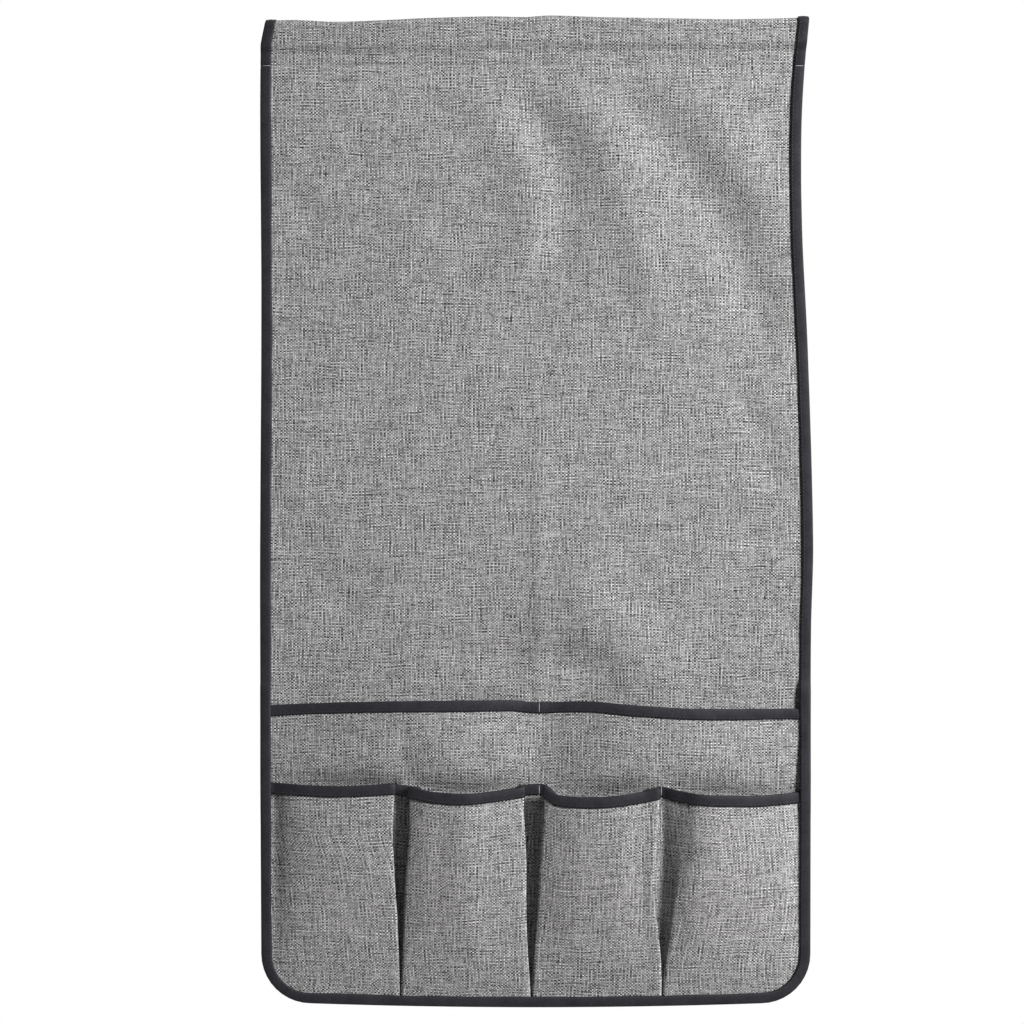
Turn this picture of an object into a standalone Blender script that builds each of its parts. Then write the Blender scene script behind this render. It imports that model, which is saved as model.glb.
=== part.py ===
"""Sofa armrest organizer: a cloth panel with a top hem, bound edges and sewn pockets, held at its hem.

Metres, +Z up. The front faces -Y. The origin lies on the flat back of the hem, midway between the
sides. A drop is a distance below the top of the hem, a rise is a height above the bottom cut edges,
and a depth is a distance in front of the plane of the cloth's back, always to the middle of the cloth.
"""

import math

import bmesh
import bpy
from mathutils import Vector

# The whole object
width = 0.500  # across the bound sides, at the pockets
height = 0.900  # from the top of the hem to the lowest point of the bottom
corner_radius = 0.045  # bottom corners, outside the binding
bottom_bow = 0.0036  # how far the bottom sags between its corners
origin_drop = 0.017  # from the top of the hem to the origin

# Cloth, tape and thread
cloth = 0.0008
tape = 0.0006
thread = 0.0005
clearance = 0.0003  # between sewn layers
tape_cover = 0.010  # width of binding that shows, from its fold to its inner edge
seam_margin = 0.0020  # from a binding's inner edge to the thread that holds it
bound_press = 0.0001  # how far the perimeter binding draws the panel's edge forward

# Top hem, folded to the back
hem_drop = 0.047  # fold of the hem's lower edge, behind
hem_seam_drop = 0.0455  # line of thread that closes the hem
turned_under = 0.017  # width of the cut edge that is folded inside
casing_drop = 0.028  # where the loose upper part of the hem ends
casing_gap = 0.0080  # room inside it, front to back
hem_swell = 0.0007  # how much the turned edge lifts the front between casing and seam

# How the panel hangs between the hem and the pockets
flap_lean = 0.0024
flap_folds_fade = 0.045  # below the hem and above the pockets

# Rear pocket
rear_height = 0.2770  # bottom to mouth
rear_stand_off = 0.0090  # how far each half stands off the panel at its mouth
rear_crest_share = 0.32  # where it stands off most, from the centre seam to the side
centre_x = 0.0036  # seam that divides it
centre_flat = 0.0080  # cloth along that seam that lies flat on the panel

# Front pocket strip
front_height = 0.2025  # bottom to mouth, at the dividers
left_divider_x = -0.1200
right_divider_x = 0.1130
divider_leans = (0.0036, 0.0080, -0.0014)  # how much further left each divider is at the bottom
divider_flat = 0.0060  # cloth that lies flat on the rear pocket at the mouth of a divider
divider_flat_foot = 0.0020  # the same at the bottom
pocket_stand_offs = (0.018, 0.022, 0.022, 0.020)
mouth_sags = (0.0000, 0.0055, 0.0070, 0.0045)
mouth_lift_left = 0.0025  # mouth at the left side above that at the dividers
mouth_drop_right = 0.0065
mouth_upright = 0.0125  # cloth under the binding that keeps the shape of the mouth
crown = 0.0030  # how far a pocket's face bows out between its folds
side_slope = 0.045  # width over which the outer pockets leave the side binding
fold_round = 0.0030  # round of a pleat's folds at the mouth

# Each pleat side: how far its front fold stands from the divider at the mouth, and its tuck at the bottom
pleat_offsets = ((0.0080, 0.0055), (0.0130, 0.0045), (0.0035, 0.0240))
pleat_tucks = ((0.0120, 0.0120), (0.0135, 0.0120), (0.0120, 0.0160))
foot_offset = 0.0010  # the same fold from the divider at the bottom

# Worked out from the sizes above
edge_inset = clearance + tape
half_width = width / 2 - edge_inset
cut_radius = corner_radius - edge_inset
cut_bottom = height - edge_inset - bottom_bow
leg = tape_cover - edge_inset
ply = cloth + clearance
bound_ply = cloth + tape + 2 * clearance
edge_depth = cloth / 2 + 4 * ply
casing_radius = (casing_gap + cloth) / 2
seam_depth = cloth / 2 + cloth + 2 * tape + 3 * clearance
binding_face = cloth / 2 + clearance + tape
seam_face = binding_face + clearance + thread  # outer side of a binding's own seam
flat_margin = 1.2 * tape_cover  # cloth along a binding that lies flat

# Outlines: share of the half width at a share of the height, and wave at a share of the half width
left_edge_shares = ((0.0, 0.988), (0.03, 1.002), (0.3, 0.998), (0.6, 1.003), (1.0, 0.997))
right_edge_shares = (
    (0.0, 0.990), (0.09, 0.967), (0.16, 0.963), (0.22, 0.967), (0.34, 0.988),
    (0.53, 1.007), (0.62, 1.0), (1.0, 0.996),
)
top_wave_shares = (
    (-1.0, 0.45), (-0.75, 0.55), (-0.4, 0.2), (0.05, 0.0), (0.4, 0.15), (0.75, 0.3), (1.0, 0.1),
)
rear_mouth_shares = (
    (-1.0, -0.3), (-0.6, 0.1), (-0.1, 0.2), (0.0, 0.0), (0.2, 0.1), (0.35, -0.2), (0.6, -0.55), (1.0, -0.6),
)

# Main folds of the hanging panel: shares of the half width and of the height at both ends, then the
# fold's height and half width as shares of those below. A negative height is a valley.
fold_height = 0.0040
fold_half_width = 0.020
fold_shares = (
    ((-0.34, 0.06), (-0.12, 0.20), 0.55, 1.5),
    ((-0.11, 0.06), (0.09, 0.15), -0.6, 0.8),
    ((0.09, 0.15), (0.07, 0.26), -0.55, 0.9),
    ((0.09, 0.06), (0.26, 0.125), 0.8, 0.9),
    ((0.26, 0.125), (0.50, 0.33), 0.9, 1.1),
    ((0.30, 0.06), (0.52, 0.13), -0.8, 0.9),
    ((0.52, 0.13), (0.92, 0.40), -0.9, 1.1),
    ((0.62, 0.08), (0.98, 0.22), 0.7, 1.1),
    ((-0.95, 0.43), (-0.60, 0.47), -0.4, 1.2),
    ((-0.30, 0.62), (0.55, 0.66), -0.5, 1.1),
    ((0.35, 0.52), (0.72, 0.66), 0.6, 1.6),
)

# Facets
corner_steps = 4
turned_rows = 3  # rows of the hem's cut edge that is folded inside, which stops short of the binding
panel_columns = 12
flap_steps = 15
rear_steps = 5
half_steps = 6
strip_steps = 6
divider_steps = 8
face_steps = 4


def smooth(share):
    """Ease from 0 to 1, flat at both ends."""
    share = min(max(share, 0.0), 1.0)
    return share * share * (3 - 2 * share)


def mix(start, end, share):
    return start + (end - start) * share


def through(points, at):
    """Value at one place of a smooth curve through (place, value) points."""
    last = len(points) - 1
    at = min(max(at, points[0][0]), points[last][0])
    k = next(i for i in range(last) if at <= points[i + 1][0])
    (x0, y0), (x1, y1) = points[k], points[k + 1]

    def slope(i):
        before, after = points[max(i - 1, 0)], points[min(i + 1, last)]
        return (after[1] - before[1]) / (after[0] - before[0])

    s = (at - x0) / (x1 - x0)
    ends = y0 * (1 + 2 * s) * (1 - s) ** 2 + y1 * s * s * (3 - 2 * s)
    return ends + (x1 - x0) * s * (1 - s) * (slope(k) * (1 - s) - slope(k + 1) * s)


def material(name, colour, roughness):
    made = bpy.data.materials.new(name)
    made.use_nodes = True
    shader = made.node_tree.nodes["Principled BSDF"]
    shader.inputs["Base Color"].default_value = (*colour, 1.0)
    shader.inputs["Roughness"].default_value = roughness
    made.diffuse_color = (*colour, 1.0)
    return made


def keep(name, mesh_edit, finish):
    """Turn an edited mesh into a named object with its material."""
    mesh = bpy.data.meshes.new(name)
    mesh_edit.to_mesh(mesh)
    mesh_edit.free()
    mesh.materials.append(finish)
    made = bpy.data.objects.new(name, mesh)
    bpy.context.scene.collection.objects.link(made)
    return made


def sewn_cloth(name, rows, finish):
    """A sheet through rows of points, given the cloth's thickness half to each side."""
    edit = bmesh.new()
    bmesh.ops.create_grid(edit, x_segments=len(rows[0]) - 1, y_segments=len(rows) - 1, size=1.0)
    for vert in edit.verts:
        column = round((vert.co.x + 1) / 2 * (len(rows[0]) - 1))
        row = round((vert.co.y + 1) / 2 * (len(rows) - 1))
        vert.co = rows[row][column]
    made = keep(name, edit, finish)
    made.data.shade_smooth()
    wall = made.modifiers.new("cloth", "SOLIDIFY")
    wall.thickness = cloth
    wall.offset = 0
    wall.use_even_offset = True
    return made


def run(name, rings, finish):
    """A closed tube of any section through rings of points, with flat ends."""
    edit = bmesh.new()
    made_rings = [[edit.verts.new(point) for point in ring] for ring in rings]
    count = len(rings[0])
    for one, two in zip(made_rings, made_rings[1:]):
        for i in range(count):
            edit.faces.new((one[i], one[(i + 1) % count], two[(i + 1) % count], two[i]))
    edit.faces.new(made_rings[0])
    edit.faces.new(reversed(made_rings[-1]))
    bmesh.ops.recalc_face_normals(edit, faces=edit.faces)
    return keep(name, edit, finish)


def mitred(directions):
    """Direction at each point of a path from those of its segments, long enough to keep offsets true."""
    ends = [directions[0], *directions, directions[-1]]
    return [(one + two) / (1 + one.dot(two)) for one, two in zip(ends, ends[1:])]


def swept(path, inward, front, sections):
    """Rings round a path: each section's points lie along its inward and front directions."""
    rings = []
    for point, ahead, out, section in zip(path, inward, front, sections):
        rings.append([point + ahead * along + out * across for along, across in section])
    return rings


def tape_section(near, far=cloth / 2 + clearance):
    """U round a cut edge: fold outside the edge, legs along both faces. near and far are its inner faces."""
    round_off = tape / 2
    return (
        (leg, near), (leg, near + tape), (-clearance - round_off, near + tape),
        (-edge_inset, near + tape - round_off), (-edge_inset, -far - tape + round_off),
        (-clearance - round_off, -far - tape), (leg, -far - tape), (leg, -far),
        (-clearance, -far), (-clearance, near),
    )


def thread_section(along, across):
    """Square section of a thread whose middle lies at a place of the path's section."""
    corners = ((1, 1), (-1, 1), (-1, -1), (1, -1))
    return [(along + a * thread / 2, across + b * thread / 2) for a, b in corners]


def side_frames(path, side):
    """Directions along a path that lies in one plane: the fixed one across it, and out of the cloth."""
    fronts = [(two - one).cross(side).normalized() for one, two in zip(path, path[1:])]
    return [-side] * len(path), mitred(fronts)


def place(x, depth, drop):
    return Vector((x, -depth, origin_drop - drop))


def side_x(side, drop):
    """Cut edge of every layer at one side, with its bottom corner."""
    shares = left_edge_shares if side < 0 else right_edge_shares
    inset = cut_radius - max(cut_bottom - drop, 0.0)
    corner = cut_radius - math.sqrt(cut_radius**2 - inset**2) if inset > 0 else 0.0
    return side * (half_width * through(shares, drop / height) - corner)


def bow(x, rise):
    """How far the bottom sags at one place."""
    reach = half_width - cut_radius
    return bottom_bow * max(1 - (x / reach) ** 2, 0.0) * max(1 - rise / (2 * cut_radius), 0.0)


def mouth_cut(above_bottom):
    """Rise of a mouth's cut edge, from the height of its binding above the lowest point."""
    return cut_bottom - (height - above_bottom + edge_inset)


def corner_rises():
    """Rises of the rows that round the bottom corners, from the bottom up."""
    angles = [math.pi / 2 * (1 - k / corner_steps) for k in range(corner_steps + 1)]
    return [cut_radius * (1 - math.sin(angle)) for angle in angles]


def flap_fold(x, drop):
    """Depth that the main folds add to the hanging panel."""
    total = 0.0
    for (x0, s0), (x1, s1), rise_share, spread_share in fold_shares:
        start = Vector((x0 * half_width, s0 * height))
        along = Vector((x1 * half_width, s1 * height)) - start
        off = Vector((x, drop)) - start
        near = min(max(off.dot(along) / along.length_squared, 0.0), 1.0)
        away = (off - along * near).length / (fold_half_width * spread_share)
        total += fold_height * rise_share * math.exp(-away * away / 2)
    above = smooth((drop - hem_drop) / flap_folds_fade)
    below = smooth((height - rear_height - drop) / flap_folds_fade)
    return total * above * below


def flap_depth(x, drop):
    hang = mix(seam_depth, flap_lean, smooth((drop - hem_drop) / (3 * hem_drop)))
    flat = smooth((height - rear_height - drop) / (3 * flap_folds_fade))
    return mix(cloth / 2, hang, flat) + flap_fold(x, drop)


def hem_section():
    """(drop, depth) of the hem's rows: the turned edge, the flat back, over the top and down the front."""
    turned_depth = (cloth / 2 + seam_depth) / 2
    top_drop = edge_inset + cloth / 2 + casing_radius
    front_depth = cloth / 2 + 2 * casing_radius
    rows = [(hem_drop - turned_under, turned_depth), (hem_drop, turned_depth), (hem_drop, cloth / 2)]
    rows += [(hem_drop - tape_cover / 3, cloth / 2), (casing_drop, cloth / 2), (1.5 * top_drop, cloth / 2)]
    middle_depth = cloth / 2 + casing_radius
    for k in range(corner_steps + 1):
        angle = math.pi * k / corner_steps
        drop = top_drop - casing_radius * math.sin(angle)
        rows.append((drop, middle_depth - casing_radius * math.cos(angle)))
    for share in (0.45, 0.6, 0.8, 1.0):
        drop = mix(top_drop, casing_drop, share)
        rows.append((drop, mix(front_depth, seam_depth, smooth((share - 0.35) / 0.65))))
    rows.append((mix(casing_drop, hem_seam_drop, 0.5), seam_depth + hem_swell))
    rows.append((hem_seam_drop, seam_depth))
    return rows


def panel_rows():
    """Rows of the back panel's points, from the turned edge of the hem to the bottom."""
    hem = hem_section()
    steps = [mix(hem_seam_drop, height - rear_height, k / flap_steps) for k in range(1, flap_steps)]
    steps += channel_drops() + [cut_bottom - rise for rise in reversed(corner_rises())]
    rows = []
    for k, (drop, depth) in enumerate(hem + [(drop, None) for drop in steps]):
        tuck = flat_margin if k < turned_rows else 0.0
        left, right = side_x(-1, drop) + tuck, side_x(1, drop) - tuck
        first, last = left + flat_margin, right - flat_margin
        fade = max(1 - drop / hem_seam_drop, 0.0)
        row = []
        for x in [left] + [mix(first, last, n / panel_columns) for n in range(panel_columns + 1)] + [right]:
            inner = min(max(x, first), last)
            wave = tape_cover * fade * through(top_wave_shares, inner / half_width)
            sag = bow(x, cut_bottom - drop)
            bound = x in (left, right) or drop > cut_bottom - cut_radius
            hung = flap_depth(inner, drop) + (bound_press if bound else 0.0)
            row.append(place(x, hung if depth is None else depth, drop + wave + sag))
        rows.append(row)
    return rows


def channel_depths():
    """(drop, depth) of the inner front face of the perimeter binding where it covers the pockets' edges."""
    rear_mouth = height - rear_height
    front_mouth = height - front_height
    rear_inner = cloth / 2 + bound_ply + binding_face + clearance
    front_inner = edge_depth + binding_face + clearance
    return (
        (rear_mouth - 2.5 * tape_cover, 0.0),
        (rear_mouth - tape_cover, rear_inner),
        (mix(rear_mouth, front_mouth, 0.27), rear_inner),
        (mix(rear_mouth, front_mouth, 0.87), front_inner),
        (front_mouth + 2 * tape_cover, front_inner),
        (front_mouth + 3.5 * tape_cover, edge_depth + cloth / 2 + clearance),
    )


def channel_drops():
    return [drop for drop, depth in channel_depths()]


def channel_front(panel_depth, drop):
    """Distance from the panel's middle to the binding's inner front face."""
    knots = channel_depths()
    bare = cloth / 2 + clearance
    if drop <= knots[0][0]:
        return bare
    for (d0, z0), (d1, z1) in zip(knots, knots[1:]):
        if drop <= d1:
            return max(mix(z0, z1, (drop - d0) / (d1 - d0)) - panel_depth, bare)
    return knots[-1][1] - panel_depth


def rear_rise(x):
    """Cut edge of the rear pocket's mouth."""
    return mouth_cut(rear_height) + tape_cover * through(rear_mouth_shares, x / half_width)


def divider_x(number, rise):
    """Line of a divider, leaning a little from its foot to its mouth."""
    top = (left_divider_x, centre_x, right_divider_x)[number]
    return top - divider_leans[number] * (1 - min(rise / front_height, 1.0))


def opened(rise, mouth):
    """Share of its opening that a pocket has at a rise: none under the bottom binding, all at its mouth."""
    share = (rise - flat_margin) / (mouth - flat_margin)
    return min(max(share, 0.0), 1.0)


def rear_depth(x, rise):
    """Middle of the rear pocket: flat at its sides, bottom and centre seam, off the panel between."""
    form = opened(rise, mouth_cut(rear_height) - mouth_upright)
    middle = divider_x(1, rise)
    side = side_x(-1 if x < middle else 1, height - rear_height)
    side -= math.copysign(flat_margin, side)
    middle += math.copysign(centre_flat / 2, side)
    across = min(max((x - middle) / (side - middle), 0.0), 1.0)
    crested = across ** (math.log(0.5) / math.log(rear_crest_share))
    arch = 1 - abs(2 * crested - 1) ** 2.5
    return cloth / 2 + mix(ply, bound_ply, form) + rear_stand_off * arch * math.sin(math.pi / 2 * form)


def rear_rows():
    """Rows of the rear pocket's points, from the bottom up. The last two keep the shape of the mouth."""
    rows = []
    for level in levels(rear_height, rear_steps):
        drop = cut_bottom - level(mouth_cut(rear_height))
        middle = divider_x(1, level(mouth_cut(rear_height)))
        left, right = side_x(-1, drop), side_x(1, drop)
        inner = (left + flat_margin, middle - centre_flat / 2, middle + centre_flat / 2, right - flat_margin)
        xs = [left] + [mix(inner[0], inner[1], n / half_steps) for n in range(half_steps + 1)]
        xs += [mix(inner[2], inner[3], n / half_steps) for n in range(half_steps + 1)] + [right]
        row = []
        for x in xs:
            rise = level(rear_rise(x))
            row.append(place(x, rear_depth(x, rise), cut_bottom - rise + bow(x, rise)))
        rows.append(row)
    return rows


def levels(above_bottom, steps):
    """Rows of a pocket from the bottom up, each as a function of the rise of its mouth's cut edge."""
    made = [lambda top, rise=rise: rise for rise in corner_rises()]
    for k in range(1, steps + 1):
        made.append(lambda top, share=k / steps: mix(cut_radius, top - mouth_upright, share))
    made.append(lambda top: top)
    return made


def pleat_side(number, side, form, line, stand_off):
    """Half of a pleat in plan, as (x, depth) from the divider to a pocket's front fold."""
    along = 1 if side else -1
    tuck = pleat_tucks[number][side]
    offset = mix(foot_offset, pleat_offsets[number][side], form)
    flat = mix(divider_flat_foot, divider_flat, form) / 2
    bend = mix(ply, fold_round, form)
    rounding = mix(0.0, fold_round, form)
    start = Vector((flat, 0.0))
    fold = Vector((offset, stand_off - bend))
    chord = fold - start
    reach = math.sqrt(max(tuck**2 - (chord.length / 2) ** 2, (tuck / 4) ** 2))
    ahead = chord.normalized()
    inner = Vector((ahead.y, -ahead.x))
    middle = (start + fold) / 2 + inner * reach
    near, far = middle - ahead * bend / 2, middle + ahead * bend / 2
    near.y, far.y = max(near.y, 0.0), max(far.y, ply)
    points = [start, near, far, fold, Vector((offset + rounding, stand_off))]
    return [(line + along * point.x, point.y) for point in points]


def strip_section(rise):
    """The strip in plan at one height, as (x, depth) from the left cut edge to the right one."""
    upright = mouth_cut(front_height) - mouth_upright
    form = opened(rise, upright)
    opening = math.sin(math.pi / 2 * form)
    level = min(rise, upright) + mouth_upright * form

    def base(x):
        return rear_depth(x, level) + mix(ply, bound_ply, form)

    depths = [mix(2 * ply, stand, opening) for stand in pocket_stand_offs]
    sides = []
    for number in range(3):
        for side in range(2):
            line = divider_x(number, min(rise, upright))
            sides.append(pleat_side(number, side, form, line, depths[number + side]))
    left, right = side_x(-1, cut_bottom - rise), side_x(1, cut_bottom - rise)
    section = [(left, edge_depth), (left + flat_margin, edge_depth)]
    for pocket in range(4):
        start = sides[2 * pocket - 1] if pocket else None
        end = sides[2 * pocket] if pocket < 3 else None
        x0 = start[-1][0] if start else left + flat_margin
        x1 = end[-1][0] if end else right - flat_margin
        if start:
            section += [(x, base(x) + depth) for x, depth in start]
        for k in range(1, face_steps + 1):
            share = k / (face_steps + 1)
            if not start:
                share = share**1.5
            elif not end:
                share = 1 - (1 - share) ** 1.5
            x = mix(x0, x1, share)
            full = base(x) + depths[pocket] + crown * form * math.sin(math.pi * share)
            from_binding = x - x0 if not start else x1 - x if not end else side_slope
            slope = math.sin(math.pi / 2 * min(from_binding / side_slope, 1.0))
            section.append((x, mix(edge_depth, full, slope)))
        if end:
            section += [(x, base(x) + depth) for x, depth in reversed(end)]
    section += [(right - flat_margin, edge_depth), (right, edge_depth)]
    return section


def front_rise(x):
    """Cut edge of the front pockets' mouths, which sag between the dividers."""
    lines = [side_x(-1, height - front_height), *[divider_x(n, front_height) for n in range(3)]]
    lines.append(side_x(1, height - front_height))
    lifts = (mouth_lift_left, 0.0, 0.0, 0.0, -mouth_drop_right)
    k = max(n for n in range(4) if x >= lines[n] or n == 0)
    share = min(max((x - lines[k]) / (lines[k + 1] - lines[k]), 0.0), 1.0)
    sag = mouth_sags[k] * math.sin(math.pi * share) ** 0.7
    return mouth_cut(front_height) + mix(lifts[k], lifts[k + 1], share) - sag


def strip_rows():
    """Rows of the pleated strip's points, from the bottom up. The last two keep the shape of the mouth."""
    rows = []
    for level in levels(front_height, strip_steps):
        row = []
        for x, depth in strip_section(level(mouth_cut(front_height))):
            rise = level(front_rise(x))
            row.append(place(x, depth, cut_bottom - rise + bow(x, rise)))
        rows.append(row)
    return rows


def perimeter_frames(rows):
    """Path of the perimeter binding with its inward and front directions, and its channel's depths."""
    last = len(rows) - 1
    left = [rows[k][0] for k in range(turned_rows, last)]
    right = [rows[k][-1] for k in range(last - 1, turned_rows - 1, -1)]
    path = left + list(rows[last]) + right
    hem = len(hem_section()) - 1 - turned_rows
    fronts, inwards = [], []
    for k, (one, two) in enumerate(zip(path, path[1:])):
        ahead = (two - one).normalized()
        if k < hem or k >= len(path) - 1 - hem:
            inwards.append(Vector((1 if k < hem else -1, 0, 0)))
            fronts.append(ahead.cross(inwards[-1]).normalized())
        else:
            fronts.append(Vector((0, -1, 0)))
            inwards.append(fronts[-1].cross(ahead).normalized())
    near = [channel_front(-point.y, origin_drop - point.z) for point in path]
    return path, mitred(inwards), mitred(fronts), near


def seam_on(near):
    """Section of the thread that holds a binding, on its front leg."""
    return thread_section(leg - seam_margin, near + tape + clearance + thread / 2)


def bind_mouth(name, seam_name, mouth):
    """Tape folded over a pocket's mouth, with its seam."""
    inward, front = side_frames(mouth, Vector((0, 0, 1)))
    near = cloth / 2 + clearance
    run(name, swept(mouth, inward, front, [tape_section(near)] * len(mouth)), charcoal)
    seam = swept(mouth, inward, front, [seam_on(near)] * len(mouth))
    run(seam_name, seam[1:-1], dark_thread)


def sew_hem(row):
    """Thread along the hem that climbs over the side bindings and their seams at both ends."""
    low = cloth / 2 + clearance
    high = seam_face + clearance
    left, right = row[0].x, row[-1].x
    over = leg + clearance
    down = over + high - low
    stops = [(left - edge_inset / 2, high), (left + over, high), (left + down, low)]
    stops += [(point.x, low) for point in row[2:-2]]
    stops += [(right - down, low), (right - over, high), (right + edge_inset / 2, high)]
    path = []
    for x, lift in stops:
        k = max(n for n in range(len(row) - 1) if x >= row[n].x or n == 0)
        share = (x - row[k].x) / (row[k + 1].x - row[k].x)
        path.append(row[k].lerp(row[k + 1], share) + Vector((0, -lift - thread / 2, 0)))
    inward, front = side_frames(path, Vector((0, 0, 1)))
    run("hem_seam", swept(path, inward, front, [thread_section(0, 0)] * len(path)), light_thread)


def sew_divider(name, number):
    """Thread down a divider: over the mouth's binding, then along the cloth that the pleat leaves bare."""
    top = mouth_cut(front_height)
    upright = top - mouth_upright
    lift = thread / 2
    path = []

    def underlay(rise):
        form = opened(rise, upright)
        x = divider_x(number, min(rise, upright))
        level = min(rise, upright) + mouth_upright * form
        return x, rear_depth(x, level) + mix(ply, bound_ply, form)

    def add(x, depth, rise):
        path.append(place(x, depth + lift, cut_bottom - rise))

    x, depth = underlay(top)
    over = depth + seam_face + clearance
    if number == 1:
        rear_top = rear_rise(x)
        rear_front = rear_depth(x, rear_top)
        low = rear_front + cloth / 2 + clearance
        add(x, rear_front + seam_face + clearance, rear_top + edge_inset / 2)
        add(x, rear_front + seam_face + clearance, rear_top - leg - clearance)
        add(x, low, rear_top - leg - seam_margin)
        add(x, low, top + edge_inset + seam_margin)
        add(x, over, top + edge_inset + clearance + thread / 2)
    else:
        add(x, over, top + edge_inset / 2)
    add(x, over, top - leg - clearance)
    for k in range(divider_steps + 1):
        rise = mix(top - leg - seam_margin, leg + seam_margin, k / divider_steps)
        x, depth = underlay(rise)
        add(x, depth + cloth / 2 + clearance, rise)
    side, front = side_frames(path, Vector((1, 0, 0)))
    run(name, swept(path, side, front, [thread_section(0, 0)] * len(path)), light_thread)


for old in list(bpy.data.objects):
    bpy.data.objects.remove(old)

linen = material("mottled grey linen-look cloth", (0.30, 0.30, 0.30), 0.9)
charcoal = material("charcoal binding tape", (0.030, 0.030, 0.036), 0.7)
light_thread = material("light grey sewing thread", (0.62, 0.62, 0.64), 0.6)
dark_thread = material("dark sewing thread", (0.018, 0.018, 0.022), 0.6)

panel = panel_rows()
sewn_cloth("back_panel", panel, linen)
sew_hem(panel[len(hem_section()) - 1])
path, inward, front, near = perimeter_frames(panel)
run("perimeter_binding", swept(path, inward, front, [tape_section(depth) for depth in near]), charcoal)
seam = swept(path, inward, front, [seam_on(depth) for depth in near])
run("perimeter_binding_seam", seam[1:-1], dark_thread)

rear = rear_rows()
sewn_cloth("rear_pocket", rear, linen)
bind_mouth("rear_pocket_binding", "rear_binding_seam", rear[-1])

strip = strip_rows()
sewn_cloth("front_pocket_strip", strip, linen)
bind_mouth("front_pocket_binding", "front_binding_seam", strip[-1])
sew_divider("left_divider_seam", 0)
sew_divider("centre_divider_seam", 1)
sew_divider("right_divider_seam", 2)
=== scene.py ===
"""Looks of the hanging sofa armrest organizer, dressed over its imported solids.

Metres, +Z up. The front faces -Y, and the origin lies on the flat back of the hem, midway between the
sides. A drop is a distance below the top of the hem, a rise is a height above the bottom cut edges,
and a depth is a distance in front of the plane of the panel's back, always to the middle of the cloth.
"""

import math

import bmesh
import bpy
from mathutils import Matrix, Vector, noise


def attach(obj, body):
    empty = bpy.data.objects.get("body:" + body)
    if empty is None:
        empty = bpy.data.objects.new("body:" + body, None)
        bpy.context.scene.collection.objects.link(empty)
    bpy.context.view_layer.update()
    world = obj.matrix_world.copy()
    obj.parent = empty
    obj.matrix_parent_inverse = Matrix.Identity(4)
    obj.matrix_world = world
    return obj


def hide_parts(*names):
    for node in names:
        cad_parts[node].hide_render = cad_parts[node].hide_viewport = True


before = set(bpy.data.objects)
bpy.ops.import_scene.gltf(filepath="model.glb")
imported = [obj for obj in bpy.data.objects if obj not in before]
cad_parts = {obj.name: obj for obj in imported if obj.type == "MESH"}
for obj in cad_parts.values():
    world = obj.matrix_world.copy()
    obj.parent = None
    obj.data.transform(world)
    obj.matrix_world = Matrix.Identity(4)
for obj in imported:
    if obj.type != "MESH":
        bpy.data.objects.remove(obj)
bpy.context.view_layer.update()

# The studio. The camera looks straight at the hanging organizer from the front, over a plain pale
# floor. One large soft lamp stands in front at the right and a little above, so that every fold
# shows, and a weaker one lights the back.
picture_width = 0.931  # what the camera takes in, at the cloth
lens_length, film_width = 85.0, 36.0  # millimetres
camera_distance = picture_width * lens_length / film_width
camera_place = Vector((-0.0218, -camera_distance, -0.4335))
organizer_middle = Vector((0.0, 0.0, -0.45))
lamps = (  # place, size and power
    ("soft lamp", Vector((2.65, -1.72, 0.78)), 1.2, 220.0),
    ("back lamp", Vector((-1.10, 2.60, 0.90)), 1.6, 90.0),
)
fill_strength = 0.06
floor_height, floor_radius, floor_segments = -2.1, 1.1, 96
floor_colour, floor_roughness = (0.88, 0.88, 0.88, 1.0), 0.9

camera = bpy.data.objects.new("camera", bpy.data.cameras.new("camera"))
camera.data.lens = lens_length
camera.data.sensor_width = film_width
camera.location = camera_place
camera.rotation_euler = (math.pi / 2, 0.0, 0.0)
bpy.context.scene.collection.objects.link(camera)
bpy.context.scene.camera = camera

for name, spot, size, power in lamps:
    lamp = bpy.data.objects.new(name, bpy.data.lights.new(name, "AREA"))
    lamp.data.shape = "DISK"
    lamp.data.size = size
    lamp.data.energy = power
    lamp.location = spot
    lamp.rotation_euler = (organizer_middle - spot).to_track_quat("-Z", "Y").to_euler()
    bpy.context.scene.collection.objects.link(lamp)

bpy.context.scene.view_settings.view_transform = "Standard"


def linked(tree, kind, inputs=(), **settings):
    """A new node with its settings, and its inputs given as values or as other nodes' outputs."""
    node = tree.nodes.new(kind)
    for name, value in settings.items():
        setattr(node, name, value)
    for socket, value in dict(inputs).items():
        if isinstance(value, bpy.types.NodeSocket):
            tree.links.new(value, node.inputs[socket])
        else:
            node.inputs[socket].default_value = value
    return node


def seen_directly(tree):
    """1 for rays from the camera, and for those by way of gloss or glass, else 0."""
    rays = linked(tree, "ShaderNodeLightPath").outputs
    bounced = {0: rays["Is Glossy Ray"], 1: rays["Is Transmission Ray"]}
    gloss = linked(tree, "ShaderNodeMath", bounced, operation="MAXIMUM").outputs[0]
    seen = {0: rays["Is Camera Ray"], 1: gloss}
    return linked(tree, "ShaderNodeMath", seen, operation="MAXIMUM").outputs[0]


world = bpy.data.worlds.new("pale studio")
bpy.context.scene.world = world
world.use_nodes = True
world.node_tree.nodes.clear()
fill = linked(world.node_tree, "ShaderNodeBackground", {"Strength": fill_strength})
white = linked(world.node_tree, "ShaderNodeBackground", {"Strength": 1.0})
for light in (fill, white):
    light.inputs["Color"].default_value = (1.0, 1.0, 1.0, 1.0)
by_ray = {0: seen_directly(world.node_tree), 1: fill.outputs[0], 2: white.outputs[0]}
either = linked(world.node_tree, "ShaderNodeMixShader", by_ray)
linked(world.node_tree, "ShaderNodeOutputWorld", {"Surface": either.outputs[0]})

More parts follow.
